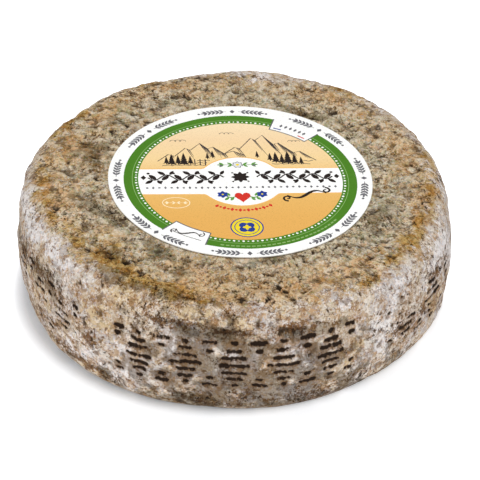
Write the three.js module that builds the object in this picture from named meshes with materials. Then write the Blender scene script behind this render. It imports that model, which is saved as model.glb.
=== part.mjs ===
// A whole wheel of pressed mountain cheese in its grey, crumbly rind, with a round paper label on top.
// Millimetres, +Z up. The wheel rests on its flat bottom at z = 0, with the origin below its middle.
// The front of the wheel is -Y, and +X is on the right of someone who looks at that front.

import * as THREE from 'three';
import { ImprovedNoise } from 'three/addons/math/ImprovedNoise.js';

const { lerp, smoothstep, degToRad } = THREE.MathUtils;

// Size of the wheel, from its axis to the two ends of its side, and from the bottom to the middle of the top
const RADIUS = 98.5;
const HEIGHT = 58.5;

// How far the side bulges half way up, between the two shoulders
const BULGE = 2.4;

// Round shoulders: how far each reaches in from the side, and how much of the height it takes
const TOP_SHOULDER = { reach: 10.5, rise: 11 };
const BOTTOM_SHOULDER = { reach: 10.5, rise: 9.5 };

// The wheel is pressed a little askew: its height grows by this much per millimetre towards +X and +Y
const LEAN = { x: -0.038, y: 0.018 };

// It is also a little out of round: each term has so many lobes, of this height, the first at this angle
const LOBES = [
	{ count: 1, height: 1.3, angle: -35 },
	{ count: 2, height: 1.6, angle: 62 },
	{ count: 3, height: 0.88, angle: -59 },
	{ count: 4, height: 0.53, angle: -24 },
	{ count: 5, height: 0.47, angle: 2 },
	{ count: 6, height: 0.32, angle: 18 },
	{ count: 7, height: 0.67, angle: -24.5 },
];

// Relief of the rind: wide swellings, crags on top of them, and broken cracks that run between the crags
const SWELL = { width: 38, height: 1.1 };
const CRAG = { width: 8.5, height: 1.3 };
const CRACK = { spacing: 21, halfWidth: 0.13, depth: 1.9, patch: 30 };

// The side is smoother than the top, and relief fades away over this height above the bottom
const SIDE_ROUGHNESS = 0.7;
const FOOT_FADE = 7;

// Paper label, glued on near the middle of the top
const LABEL_RADIUS = 60;
const LABEL_CENTRE = { x: 2.5, y: -1.4 };
const LABEL_THICKNESS = 0.4;
const LABEL_GAP = 0.3;

// The rind under the label is nearly flat, and its crags start over this width outside the label
const BED_SWELL = 0.35;
const BED_MARGIN = 1.5;
const CRAG_START = 3.5;

// Mesh: vertices round the wheel, rings over each stretch of its profile, and rings over the label
const SECTORS = 168;
const RINGS = { top: 8, shoulder: 6, side: 12, foot: 4 };
const LABEL_RINGS = [ 12, 24, 36, 48, 60 ];
const LABEL_SECTORS = [ 12, 24, 48, 48, 96 ];

const noise = new ImprovedNoise();

// Smooth noise between about -1 and 1, with swells of the given width. The offset keeps layers apart.
function layer( point, width, offset ) {

	const { x, y, z } = point;
	return noise.noise( x / width + offset, y / width + 2.3 * offset, z / width + 5.1 * offset );

}

// Distance of the side from the axis, at an angle about that axis in radians
function outline( angle ) {

	const lobe = ( { count, height, angle: first } ) => height * Math.cos( count * ( angle - degToRad( first ) ) );
	return LOBES.reduce( ( radius, term ) => radius + lobe( term ), RADIUS );

}

// A height on the level wheel, carried over to the wheel that leans
function leaning( x, y, height ) {

	return height * ( 1 + ( LEAN.x * x + LEAN.y * y ) / HEIGHT );

}

// The rind's surface under the label, and the same surface that the paper follows
function bedHeight( x, y ) {

	const swell = BED_SWELL * layer( { x, y, z: HEIGHT }, SWELL.width, 0.37 );
	return leaning( x, y, HEIGHT ) + swell;

}

// How far the rind stands out of the plain shape at a point, with crags and cracks scaled by roughness
function relief( point, roughness ) {

	const swell = SWELL.height * layer( point, SWELL.width, 0.37 );
	const crag = CRAG.height * layer( point, CRAG.width, 1.71 );
	const fromCrack = Math.abs( layer( point, CRACK.spacing, 3.13 ) ) / CRACK.halfWidth;
	const broken = smoothstep( layer( point, CRACK.patch, 4.59 ), - 0.05, 0.2 );
	const crack = CRACK.depth * Math.max( 0, 1 - fromCrack ) * broken;
	return swell + roughness * ( crag - crack );

}

// A circle of points round the label's centre, on the bed or at a height above it
function labelRing( radius, count, lift = 0 ) {

	return Array.from( { length: count }, ( _, i ) => {

		const angle = 2 * Math.PI * i / count;
		const x = LABEL_CENTRE.x + radius * Math.cos( angle );
		const y = LABEL_CENTRE.y + radius * Math.sin( angle );
		return new THREE.Vector3( x, y, bedHeight( x, y ) + lift );

	} );

}

function labelMiddle( lift = 0 ) {

	const { x, y } = LABEL_CENTRE;
	return [ new THREE.Vector3( x, y, bedHeight( x, y ) + lift ) ];

}

// One ring of the rind: place gives radius, height and outward slope of the plain shape at each angle
function rindRing( place ) {

	return Array.from( { length: SECTORS }, ( _, i ) => {

		const angle = 2 * Math.PI * i / SECTORS;
		const { x, y, height, tilt, roughness } = place( angle );
		const point = new THREE.Vector3( x, y, leaning( x, y, height ) );
		const out = new THREE.Vector3(
			Math.cos( angle ) * Math.sin( tilt ),
			Math.sin( angle ) * Math.sin( tilt ),
			Math.cos( tilt ),
		);
		const fade = smoothstep( point.z, 0, FOOT_FADE );
		return point.addScaledVector( out, fade * relief( point, roughness ) );

	} );

}

// A ring round the axis, at a distance from it and a height
function roundRing( inset, height, tilt, roughness ) {

	return rindRing( ( angle ) => {

		const radius = outline( angle ) - inset;
		return { x: radius * Math.cos( angle ), y: radius * Math.sin( angle ), height, tilt, roughness };

	} );

}

// The crumbly border of the top, from the label's bed out to the start of the shoulder
function topRings() {

	const rings = [];
	for ( let i = 1; i <= RINGS.top; i ++ ) {

		const share = i / RINGS.top;
		rings.push( rindRing( ( angle ) => {

			const bed = LABEL_RADIUS + BED_MARGIN;
			const edge = outline( angle ) - TOP_SHOULDER.reach;
			const x = lerp( LABEL_CENTRE.x + bed * Math.cos( angle ), edge * Math.cos( angle ), share );
			const y = lerp( LABEL_CENTRE.y + bed * Math.sin( angle ), edge * Math.sin( angle ), share );
			const fromBed = Math.hypot( x - LABEL_CENTRE.x, y - LABEL_CENTRE.y ) - bed;
			return { x, y, height: HEIGHT, tilt: 0, roughness: smoothstep( fromBed, 0, CRAG_START ) };

		} ) );

	}

	return rings;

}

// Rings over a shoulder: a quarter of an ellipse, from one tilt of the surface to another
function shoulderRings( { reach, rise }, from, to, count, roughnessAt ) {

	const rings = [];
	const isTop = to <= 90;
	for ( let i = 1; i <= count; i ++ ) {

		const tilt = degToRad( lerp( from, to, i / count ) );
		const inset = reach * ( 1 - Math.sin( tilt ) );
		const height = isTop ? HEIGHT - rise * ( 1 - Math.cos( tilt ) ) : rise * ( 1 + Math.cos( tilt ) );
		rings.push( roundRing( inset, height, tilt, roughnessAt( i / count ) ) );

	}

	return rings;

}

// Rings down the bulging side, between the two shoulders
function sideRings() {

	const rings = [];
	for ( let i = 1; i <= RINGS.side; i ++ ) {

		const share = i / RINGS.side;
		const height = lerp( HEIGHT - TOP_SHOULDER.rise, BOTTOM_SHOULDER.rise, share );
		const inset = - BULGE * Math.sin( Math.PI * share );
		rings.push( roundRing( inset, height, Math.PI / 2, SIDE_ROUGHNESS ) );

	}

	return rings;

}

// The flat bottom: one ring on the way in, and its middle
function bottomRings() {

	const count = SECTORS / 4;
	const radius = RADIUS / 2;
	const ring = Array.from( { length: count }, ( _, i ) => {

		const angle = 2 * Math.PI * i / count;
		return new THREE.Vector3( radius * Math.cos( angle ), radius * Math.sin( angle ), 0 );

	} );
	return [ ring, [ new THREE.Vector3( 0, 0, 0 ) ] ];

}

// Skins a stack of rings, each wound anticlockwise seen from above, into one surface that faces outward.
// Neighbouring rings may have different numbers of points, and a ring of one point is a pole.
function skin( rings ) {

	const starts = [];
	const points = [];
	for ( const ring of rings ) {

		starts.push( points.length );
		points.push( ...ring );

	}

	const index = [];
	for ( let r = 0; r + 1 < rings.length; r ++ ) {

		const inner = rings[ r ].length;
		const outer = rings[ r + 1 ].length;
		const innerAt = ( i ) => starts[ r ] + i % inner;
		const outerAt = ( i ) => starts[ r + 1 ] + i % outer;
		const innerSteps = inner > 1 ? inner : 0;
		const outerSteps = outer > 1 ? outer : 0;
		let i = 0;
		let o = 0;
		while ( i < innerSteps || o < outerSteps ) {

			const stepOuter = i >= innerSteps || ( o < outerSteps && ( o + 0.5 ) / outer <= ( i + 0.5 ) / inner );
			if ( stepOuter ) {

				index.push( innerAt( i ), outerAt( o ), outerAt( o + 1 ) );
				o ++;

			} else {

				index.push( innerAt( i ), outerAt( o ), innerAt( i + 1 ) );
				i ++;

			}

		}

	}

	const geometry = new THREE.BufferGeometry().setFromPoints( points );
	geometry.setIndex( index );
	geometry.computeVertexNormals();
	return geometry;

}

function cheeseWheel() {

	const bed = LABEL_RINGS.map( ( radius, i ) => labelRing( radius, LABEL_SECTORS[ i ] ) );
	const edge = labelRing( LABEL_RADIUS + BED_MARGIN, SECTORS );
	const roughEdge = ( share ) => lerp( 1, SIDE_ROUGHNESS, share );
	const geometry = skin( [
		labelMiddle(),
		...bed,
		edge,
		...topRings(),
		...shoulderRings( TOP_SHOULDER, 0, 90, RINGS.shoulder, roughEdge ),
		...sideRings(),
		...shoulderRings( BOTTOM_SHOULDER, 90, 180, RINGS.foot, () => SIDE_ROUGHNESS ),
		...bottomRings(),
	] );
	const rind = new THREE.MeshStandardMaterial( { color: 0xa89379, roughness: 0.95, metalness: 0 } );
	const mesh = new THREE.Mesh( geometry, rind );
	mesh.name = 'cheese_wheel';
	return mesh;

}

// A thin disc of paper whose two faces are split alike, so that it keeps one thickness as it follows the rind
function paperLabel() {

	const face = ( lift ) => LABEL_RINGS.map( ( radius, i ) => labelRing( radius, LABEL_SECTORS[ i ], lift ) );
	const top = LABEL_GAP + LABEL_THICKNESS;
	const geometry = skin( [
		labelMiddle( top ),
		...face( top ),
		...face( LABEL_GAP ).reverse(),
		labelMiddle( LABEL_GAP ),
	] );
	const paper = new THREE.MeshStandardMaterial( { color: 0xf3dcae, roughness: 0.6, metalness: 0 } );
	const mesh = new THREE.Mesh( geometry, paper );
	mesh.name = 'paper_label';
	return mesh;

}

const cheese = new THREE.Group();
cheese.add( cheeseWheel(), paperLabel() );

export default cheese;
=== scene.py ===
"""The looks of a whole wheel of pressed mountain cheese: its crumbly grey rind, the worn stamp round its side
and the round paper label on its top. Sizes are in millimetres until a mesh is made, and +Z is up."""

from itertools import product
from statistics import NormalDist

import bpy
import numpy as np
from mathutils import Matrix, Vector
from mathutils.bvhtree import BVHTree
from mathutils.geometry import delaunay_2d_cdt


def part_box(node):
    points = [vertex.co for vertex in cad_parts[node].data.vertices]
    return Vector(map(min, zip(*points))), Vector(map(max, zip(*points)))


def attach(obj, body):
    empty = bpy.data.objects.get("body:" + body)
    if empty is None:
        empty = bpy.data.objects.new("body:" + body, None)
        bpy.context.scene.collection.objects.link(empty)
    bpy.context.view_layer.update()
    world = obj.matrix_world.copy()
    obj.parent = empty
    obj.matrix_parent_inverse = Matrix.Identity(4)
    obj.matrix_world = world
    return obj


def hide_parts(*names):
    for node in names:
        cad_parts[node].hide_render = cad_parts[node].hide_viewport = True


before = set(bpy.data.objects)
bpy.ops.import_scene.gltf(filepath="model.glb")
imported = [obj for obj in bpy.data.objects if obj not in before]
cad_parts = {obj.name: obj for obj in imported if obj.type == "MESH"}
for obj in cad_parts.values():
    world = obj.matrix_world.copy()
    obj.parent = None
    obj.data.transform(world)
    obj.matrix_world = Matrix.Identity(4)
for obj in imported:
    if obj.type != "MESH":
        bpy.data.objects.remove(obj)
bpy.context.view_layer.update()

MM = 0.001

# The wheel's core, a plain drum inside the rind: rays leave it to find the rind of the CAD wheel
CORE_RADIUS = 88
CORE_TOP = 46
CORE_FOOT = 11

# The label, as it lies on the wheel
LABEL_RADIUS = 60
label_low, label_high = (np.array(corner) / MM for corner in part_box("paper_label"))
LABEL_CENTRE = (label_low + label_high) / 2

# Mesh of the rind: points round the wheel, rings over each stretch of the profile, and the radius and points
# of each coarse ring under the label and on the bottom
SECTORS = 800
RINGS = {"top": 34, "shoulder": 20, "side": 46, "foot": 14}
BED_RINGS = ((0, 1), (12, 24), (25, 48), (38, 80), (48, 96), (54, 112))
BOTTOM_RINGS = ((0, 1), (45, 60), (80, 200))

# The CAD's facets are smoothed away over so many steps round the wheel and down its profile
FACET_BLUR = (3.0, 2.2)

# The rind lies this far below the CAD's under the label and at the label's edge, and has no relief there.
# Relief also fades away over this height above the bottom.
BED_DROP = 0.1
BED_EDGE_DROP = 0.15
FOOT_FADE = 7


# Noise

def hashed(cells, seed):
    """A fixed number from 0 to 1 for each cell, given as whole numbers in the last axis."""
    with np.errstate(over="ignore"):
        n = cells.astype(np.int64).astype(np.uint32)
        h = n[..., 0] * np.uint32(0x8DA6B343)
        h ^= n[..., 1] * np.uint32(0xD8163841)
        h ^= n[..., 2] * np.uint32(0xCB1AB31F)
        h ^= np.uint32((seed * 0x9E3779B1) & 0xFFFFFFFF)
        for shift, factor in ((15, 0x2C1B3C6D), (12, 0x297A2D39)):
            h ^= h >> np.uint32(shift)
            h *= np.uint32(factor)
        h ^= h >> np.uint32(15)
    return h / 2.0 ** 32


def noise(points, width, seed, octaves=1, fall=0.5):
    """Smooth noise between about -1 and 1. width is how wide its swells are, and each octave halves it."""
    scaled = points / width
    home = np.floor(scaled)
    part = scaled - home
    ease = part * part * part * (part * (part * 6 - 15) + 10)
    total = np.zeros(points.shape[:-1])
    for corner in product((0, 1), repeat=3):
        cell = home + corner
        slope = np.stack([hashed(cell, seed + axis) for axis in range(3)], -1) * 2 - 1
        weight = np.where(corner, ease, 1 - ease).prod(-1)
        total += weight * (slope * (part - corner)).sum(-1)
    total *= 1.7  # brings its ends near -1 and 1
    if octaves > 1:
        total += fall * noise(points + 31.7, width / 2, seed + 5, octaves - 1, fall)
    return total


def cells(points, width, seed):
    """Scattered centres about width apart: how far the nearest and the next one are, as a share of
    width, and a fixed number from 0 to 1 for the nearest."""
    scaled = points / width
    home = np.floor(scaled)
    nearest = np.full(points.shape[:-1], 9.0)
    second = nearest.copy()
    name = np.zeros_like(nearest)
    for step in product((-1, 0, 1), repeat=3):
        cell = home + step
        centre = cell + np.stack([hashed(cell, seed + axis) for axis in range(3)], -1)
        gap = np.linalg.norm(scaled - centre, axis=-1)
        closer = gap < nearest
        second = np.where(closer, nearest, np.minimum(second, gap))
        name = np.where(closer, hashed(cell, seed + 3), name)
        nearest = np.where(closer, gap, nearest)
    return nearest, second, name


def ramp(value, low, high):
    """0 up to low and 1 from high, with an eased climb between them. High may be the smaller."""
    share = np.clip((value - low) / (high - low), 0, 1)
    return share * share * (3 - 2 * share)


# Rind

def profile():
    """Origins and directions of the rays that find the rind: a row for each ring, from label to foot."""
    angle = np.linspace(0, 2 * np.pi, SECTORS, endpoint=False)
    around = np.stack([np.cos(angle), np.sin(angle), np.zeros(SECTORS)], -1)
    up = np.array([0, 0, 1])
    bed = LABEL_CENTRE * (1, 1, 0) + around * (LABEL_RADIUS - 1)
    rim = around * CORE_RADIUS
    shares = {name: np.arange(count) / count for name, count in RINGS.items()}
    rings = [(bed + (rim - bed) * share + up * CORE_TOP, 0) for share in shares["top"]]
    rings += [(rim + up * CORE_TOP, share * np.pi / 2) for share in shares["shoulder"]]
    rings += [(rim + up * (CORE_TOP + (CORE_FOOT - CORE_TOP) * share), np.pi / 2) for share in shares["side"]]
    rings += [(rim + up * CORE_FOOT, (1 + share) * np.pi / 2) for share in (*shares["foot"], 1)]
    directions = [around * np.sin(tilt) + up * np.cos(tilt) for _, tilt in rings]
    return np.array([origin for origin, _ in rings]), np.array(directions)


def cast(node, origins, directions):
    """How far along each ray the CAD node's surface is, in millimetres."""
    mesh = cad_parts[node].data
    points = [v.co / MM for v in mesh.vertices]
    tree = BVHTree.FromPolygons(points, [p.vertices for p in mesh.polygons])
    rays = zip(origins.reshape(-1, 3), directions.reshape(-1, 3))
    reach = [tree.ray_cast(Vector(o), Vector(d))[3] for o, d in rays]
    return np.array(reach).reshape(origins.shape[:-1])


def cad_height(node, spots, start, way):
    """How high the CAD node's surface is at places on the floor, found from a height going up or down."""
    origins = np.column_stack([spots, np.full(len(spots), start)])
    return start + way * cast(node, origins, np.broadcast_to((0.0, 0.0, way), origins.shape))


def blurred(grid, round_steps, down_steps):
    """A grid smoothed over so many steps round the wheel and down its profile."""
    for axis, steps in ((1, round_steps), (0, down_steps)):
        half = int(3 * steps)
        kernel = np.exp(-0.5 * (np.arange(-half, half + 1) / steps) ** 2)
        kernel /= kernel.sum()
        pad = [(0, 0), (0, 0)]
        pad[axis] = (half, half)
        padded = np.pad(grid, pad, mode="wrap" if axis == 1 else "edge")
        grid = np.apply_along_axis(np.convolve, axis, padded, kernel, mode="valid")
    return grid


def terraces(height, step, edge):
    """A height with its slopes gathered into low cliffs, a step apart, as where flakes lie on flakes."""
    level = np.floor(height / step)
    return step * (level + ramp(height / step - level, 0.5 - edge, 0.5 + edge))


def scattered_pits(points, width, seed, share, depth, size):
    """Pits about width apart in a share of their places. Their size is a share of width."""
    near, _, name = cells(points, width, seed)
    chance = hashed(np.floor(name[..., None] * (977, 1229, 613)), seed)
    ragged = near + 0.3 * noise(points, width / 3, seed + 6, 2)
    return -depth * (0.6 + 0.4 * chance) * (name < share) * ramp(ragged, size, size / 3)


def warp(points, reach, width, seed):
    """Points pushed about by noise, so that shapes drawn at them have ragged edges."""
    return points + reach * np.stack([noise(points, width, seed + k, 2) for k in (0, 4, 8)], -1)


def crust_relief(points):
    """Height of the rough top crust: flakes over lumps, crumbs on both, and pits and broken cracks."""
    warped = warp(points, 1.6, 5, 40)
    flakes = terraces(1.05 * noise(warped, 10, 3, octaves=3), step=0.6, edge=0.24)
    lumps = 0.26 * noise(points, 4.2, 15, octaves=3, fall=0.75)
    near, second, name = cells(warped, 2.4, 11)
    crumbs = (0.08 + 0.35 * name) * ramp(second - near, 0, 0.4) - 0.15
    pits = scattered_pits(warped, 9, 21, share=0.3, depth=1.3, size=0.26)
    pits *= ramp(noise(points, 24, 27), -0.2, 0.3)
    pits += scattered_pits(warped, 4.2, 25, share=0.16, depth=0.9, size=0.3)
    wide = -1.1 * ramp(np.abs(noise(warped, 14, 35, 2)), 0.055, 0) * ramp(noise(points, 22, 31), -0.1, 0.25)
    fine = -0.9 * ramp(np.abs(noise(warped, 8.5, 37, 2)), 0.07, 0) * ramp(noise(points, 13, 33), -0.1, 0.3)
    return flakes + lumps + crumbs + pits + wide + fine


def side_relief(points):
    """Height of the smoother side: low swellings under a bloom of mould, with small pits."""
    warped = warp(points, 1.0, 4, 50)
    swells = 0.35 * noise(points, 9, 61, octaves=4, fall=0.55)
    flakes = terraces(0.5 * noise(warped, 7, 63, octaves=2), step=0.3, edge=0.25)
    flakes *= ramp(noise(points, 20, 64), -0.1, 0.3)
    pits = scattered_pits(warped, 6, 65, share=0.28, depth=0.7, size=0.28)
    pits += scattered_pits(warped, 3.2, 69, share=0.2, depth=0.4, size=0.32)
    return swells + flakes + pits


# The top's crust ends so many millimetres down the profile from the label's edge, and changes to the side
# over CRUST_FADE millimetres, along a ragged line. Bays and tongues move its end: each is at an angle,
# reaches so many degrees each way and moves the end by so many millimetres.
CRUST_END = 33
CRUST_BAYS = ((-160, 26, 1), (-70, 14, -2), (-52, 5, 3), (-18, 34, -3.5), (82, 13, -5.5), (150, 40, 3))
CRUST_FADE = 6
CRUST_RAGGED = 0.4

# Stains of the rind, and in the kind shade also painted shade at the foot. Each is at an angle round the
# wheel, in degrees with the front at -90, and at so many millimetres down the profile from the label's edge,
# with its reach each way in the same units.
STAINS = {
    "ochre": (
        (-174, 31, 8, 3.5), (-159, 31, 9, 2.5), (-143, 28, 8, 6), (-132, 25, 10, 9), (-122, 28, 9, 8),
        (-112, 29, 8, 5), (-104, 32, 10, 2.5), (-52, 32, 5, 3), (-40, 28, 6, 4), (-30, 27, 9, 5),
        (-19, 27, 7, 4), (-6, 28, 9, 3), (14, 33, 9, 3), (58, 34, 8, 3), (118, 34, 10, 3),
        (152, 33, 9, 4),
    ),
    "warm": (
        (-94, 23, 20, 12), (-74, 23, 14, 11), (-108, 14, 8, 6), (-166, 24, 14, 9), (-50, 22, 10, 7),
        (-6, 24, 14, 6), (20, 22, 14, 8), (62, 24, 12, 5), (110, 24, 14, 5), (135, 24, 16, 7),
        (166, 20, 14, 12),
    ),
    "tan": (
        (-112, 38, 14, 6), (-90, 39, 16, 7), (-125, 50, 8, 9), (-150, 65, 10, 13), (-140, 75, 9, 7),
        (-60, 60, 6, 12), (-31, 64, 9, 9), (-12, 66, 8, 10), (-150, 85, 20, 5), (-128, 87, 12, 4),
        (30, 42, 14, 8), (75, 40, 12, 6), (120, 44, 20, 8), (165, 52, 9, 8),
    ),
    "brown": (
        (-161, 58, 6, 3.5), (-150, 54, 8, 4), (-142, 56, 5, 3), (-149, 78, 3, 6), (-127, 67, 4.5, 6),
        (-142, 74, 6, 2.5), (-172, 72, 5, 8), (-106, 44, 8, 3), (-91, 45, 9, 2.5), (-74, 44, 9, 3),
        (-98, 84, 9, 3), (-72, 81, 10, 4), (-88, 77, 3, 3), (-43, 62, 5, 5), (-35, 61, 3, 3.5),
        (-28, 64, 3, 5), (-27, 48, 5, 3), (-16, 72, 3, 8), (-8, 60, 3, 7), (-134, 85, 16, 4),
        (-166, 84, 16, 6), (-44, 84, 12, 3), (-14, 84, 14, 5), (20, 60, 7, 12), (62, 48, 12, 6),
        (95, 70, 8, 10), (135, 58, 9, 12), (172, 76, 9, 6), (40, 86, 30, 4), (140, 88, 40, 4),
    ),
    "bloom": (
        (-166, 41, 14, 9), (-151, 39, 10, 6), (-138, 40, 8, 5), (-119, 76, 8, 8), (-118, 64, 4, 6),
        (-132, 77, 6, 6), (-61, 37, 5, 4), (-49, 56, 6, 15), (-44, 38, 9, 7), (-25, 41, 13, 11),
        (-11, 52, 10, 18), (2, 42, 14, 14), (-88, 58, 4, 7), (-106, 56, 3, 8), (84, 30, 13, 5),
        (40, 62, 10, 12), (78, 60, 9, 12), (115, 52, 14, 10), (155, 50, 12, 10),
    ),
    "grey": (
        (-20, 6, 34, 11), (-150, 8, 26, 8), (-118, 6, 10, 8), (-88, 4, 10, 5), (-88, 72, 22, 5),
        (-60, 72, 9, 6), (-84, 42, 5, 4), (36, 6, 30, 9), (58, 4, 12, 4), (132, 13, 22, 6),
    ),
    "dull": (
        (-99, 46, 20, 8), (-94, 58, 26, 18), (-86, 74, 34, 26), (-78, 86, 28, 18), (56, 70, 26, 18),
        (134, 76, 26, 16),
    ),
    # shade: dark blotches of the rind, but the two at the foot of the front, at (-100, 91) and (-46, 88), are
    # painted shade that darkens the rind towards its bottom edge
    "shade": (
        (-106, 32, 13, 3.5), (-97, 46, 13, 4), (-72, 46, 10, 3), (-150, 55, 13, 8), (-166, 58, 8, 5),
        (-131, 22, 7, 6), (-155, 12, 9, 5), (-147, 7, 6, 6), (-165, 19, 5, 3), (-118, 7, 8, 6),
        (-108, 17, 4, 6), (-74, 3, 8, 4), (-24, 8, 14, 5), (-123, 34, 11, 4), (-100, 91, 42, 12),
        (-46, 88, 20, 9), (60, 6, 12, 4), (146, 16, 6, 5), (166, 10, 12, 9), (100, 46, 10, 8),
    ),
}


def turned(angle, at):
    """Degrees from one angle to others, between -180 and 180."""
    return (angle - at + 180) % 360 - 180


def crust_end(angle):
    """How far down the profile the crust ends, at angles round the wheel."""
    bays = (shift * np.exp(-(turned(angle, at) / wide) ** 2) for at, wide, shift in CRUST_BAYS)
    return CRUST_END + sum(bays)


def stain(stains, angle, down):
    """How strong a kind of stain is at each point: 1 in its middle, 0 at its edge and down to -1 beyond."""
    strength = np.full(angle.shape, -1.0)
    for at, depth, wide, high in stains:
        strength = np.maximum(strength, 1 - np.hypot(turned(angle, at) / wide, (down - depth) / high))
    return strength


# The stamp round the side, pressed in when the wheel was young: rows of dashes, each a run of pin marks.
# A block is a border of solid lozenges with small triangles between them, and its rows count from the top.
# What is farther from the marks than STAMP_FAR counts as that far.
STAMP_BLOCKS = 5
STAMP_FRONT = -90
STAMP_ROWS = 7
STAMP_PITCH = 3.72
STAMP_HEIGHT = 30
STAMP_BAND = 20
STAMP_REACH = 53.5
LOZENGES = 5
LOZENGE_STEP = 21.2
LOZENGE_WIDTH = 13.6
LOZENGE_TIP = 3.4
TRIANGLE_ROWS = (7.4, 3.9)
PIN_RADIUS = 1.12
PIN_SPACING = 1.5
DENT_DEPTH = 0.5
STAMP_FAR = 9

# Wear makes the marks smaller by so many millimetres everywhere, and by so many more where it is worst
FRONT_WEAR = (0, 0.225)
OTHER_WEAR = (0.2, 0.9)


def lozenge_dashes(row):
    """The dashes of a row over one step of the border, as places from the lozenge's middle and lengths."""
    half = (STAMP_ROWS - 1) / 2
    from_edge = half - abs(row - half)
    dashes = [(0, LOZENGE_TIP + (LOZENGE_WIDTH - LOZENGE_TIP) * from_edge / half)]
    if from_edge < len(TRIANGLE_ROWS):
        dashes.append((LOZENGE_STEP / 2, TRIANGLE_ROWS[int(from_edge)]))
    return dashes


def stamp_pins():
    """The pin marks of one block, as rows of (along, height, radius), with the block's middle at 0."""
    random = np.random.default_rng(7)
    pins = []
    for row, k in product(range(STAMP_ROWS), range(-1, LOZENGES)):
        height = STAMP_HEIGHT + ((STAMP_ROWS - 1) / 2 - row) * STAMP_PITCH
        middle = (k - (LOZENGES - 1) / 2) * LOZENGE_STEP
        for offset, length in lozenge_dashes(row):
            length *= random.uniform(0.88, 1.12)
            slope = random.normal(0, 0.04)
            lift = random.normal(0, 0.2)
            for x in np.linspace(-0.5, 0.5, round(length / PIN_SPACING)) * (length - 2 * PIN_RADIUS):
                radius = PIN_RADIUS * random.uniform(0.8, 1.1)
                pins.append((middle + offset + x, height + lift + slope * x + random.normal(0, 0.12), radius))
    pins = np.array(pins)
    return pins[np.abs(pins[:, 0]) < STAMP_REACH]


def stamp_distance(points, angle):
    """Millimetres from the edge of the stamp's marks, negative in them, at each point of the side."""
    distance = np.full(angle.shape, float(STAMP_FAR))
    pins = stamp_pins()
    radius = np.hypot(points[..., 0], points[..., 1])
    on_side = (np.abs(points[..., 2] - STAMP_HEIGHT) < STAMP_BAND) & (radius > CORE_RADIUS)
    worn = ramp(noise(points, 16, 81, 2), 0.25, -0.35)
    for block in range(STAMP_BLOCKS):
        turn = turned(angle, STAMP_FRONT + block * 360 / STAMP_BLOCKS)
        here = on_side & (np.abs(turn) < 180 / STAMP_BLOCKS)
        x = np.radians(turn[here]) * radius[here]
        z = points[..., 2][here]
        gaps = np.hypot(x[:, None] - pins[:, 0], z[:, None] - pins[:, 1]) - pins[:, 2]
        least, more = OTHER_WEAR if block else FRONT_WEAR
        distance[here] = gaps.min(1) + least + more * worn[here]
    return np.minimum(distance, STAMP_FAR)


def build_grid():
    """The rind's points as a grid of rings by sectors, and what its material reads at each."""
    origins, directions = profile()
    reach = blurred(cast("cheese_wheel", origins, directions), *FACET_BLUR)
    plain = origins + directions * reach[..., None]
    steps = np.linalg.norm(np.diff(plain, axis=0), axis=-1)
    down = np.concatenate([np.zeros((1, SECTORS)), steps.cumsum(0)])
    angle = np.degrees(np.arctan2(plain[..., 1], plain[..., 0]))
    ragged = CRUST_RAGGED * noise(plain, 13, 71, octaves=3, fall=0.6)
    edge = (crust_end(angle) - down) / CRUST_FADE + ragged
    crust = ramp(edge, -0.8, 0.8)
    relief = crust * crust_relief(plain) + (1 - crust) * side_relief(plain)
    stamp = stamp_distance(plain, angle)
    relief -= DENT_DEPTH * ramp(stamp, 0.5, -0.6)
    beside_label = np.linalg.norm((plain - LABEL_CENTRE)[..., :2], axis=-1) - LABEL_RADIUS
    under = ramp(beside_label, 1.5, -0.5)
    relief = relief * (1 - under) - BED_EDGE_DROP * under
    foot = ramp(plain[..., 2], 0.2, FOOT_FADE)
    points = plain + directions * (relief * foot)[..., None]
    points[..., 2] = np.maximum(points[..., 2], 0)
    points[-1, :, 2] = 0
    # hollow: how far the relief lies above or below its own surroundings. The materials paint shade into the
    # hollows from it, and on the crust a highlight on the raised bits.
    fields = {"hollow": relief - blurred(relief, 4, 4), "crust": edge, "stamp": stamp, "down": down}
    for name, stains in STAINS.items():
        fields[name] = stain(stains, angle, down)
    return points, fields


def stitched(inner, outer, count_in, count_out):
    """Triangles between two rings that start at these numbers. A ring of one point is a pole."""
    faces = []
    i = o = 0
    steps_in = count_in if count_in > 1 else 0
    while i < steps_in or o < count_out:
        if i >= steps_in or (o < count_out and (o + 0.5) / count_out <= (i + 0.5) / count_in):
            faces.append((inner + i % count_in, outer + o % count_out, outer + (o + 1) % count_out))
            o += 1
        else:
            faces.append((inner + i % count_in, outer + o % count_out, inner + (i + 1) % count_in))
            i += 1
    return faces


def capped(rings, first, rim, count):
    """Triangles over coarse rings, from a pole out to a last ring of count points. The numbers of the
    rings' points start at first, and those of the last ring at rim."""
    chain = []
    for ring in rings:
        chain.append((first, len(ring)))
        first += len(ring)
    chain.append((rim, count))
    links = zip(chain, chain[1:])
    return [face for (inner, n), (outer, m) in links for face in stitched(inner, outer, n, m)]


# The map for bakes: how many strips the rind is cut into, the gap round each, and the width they may take
BAKE_STRIPS = 3
BAKE_GAP = 0.004
BAKE_WIDTH = 0.78


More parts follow.
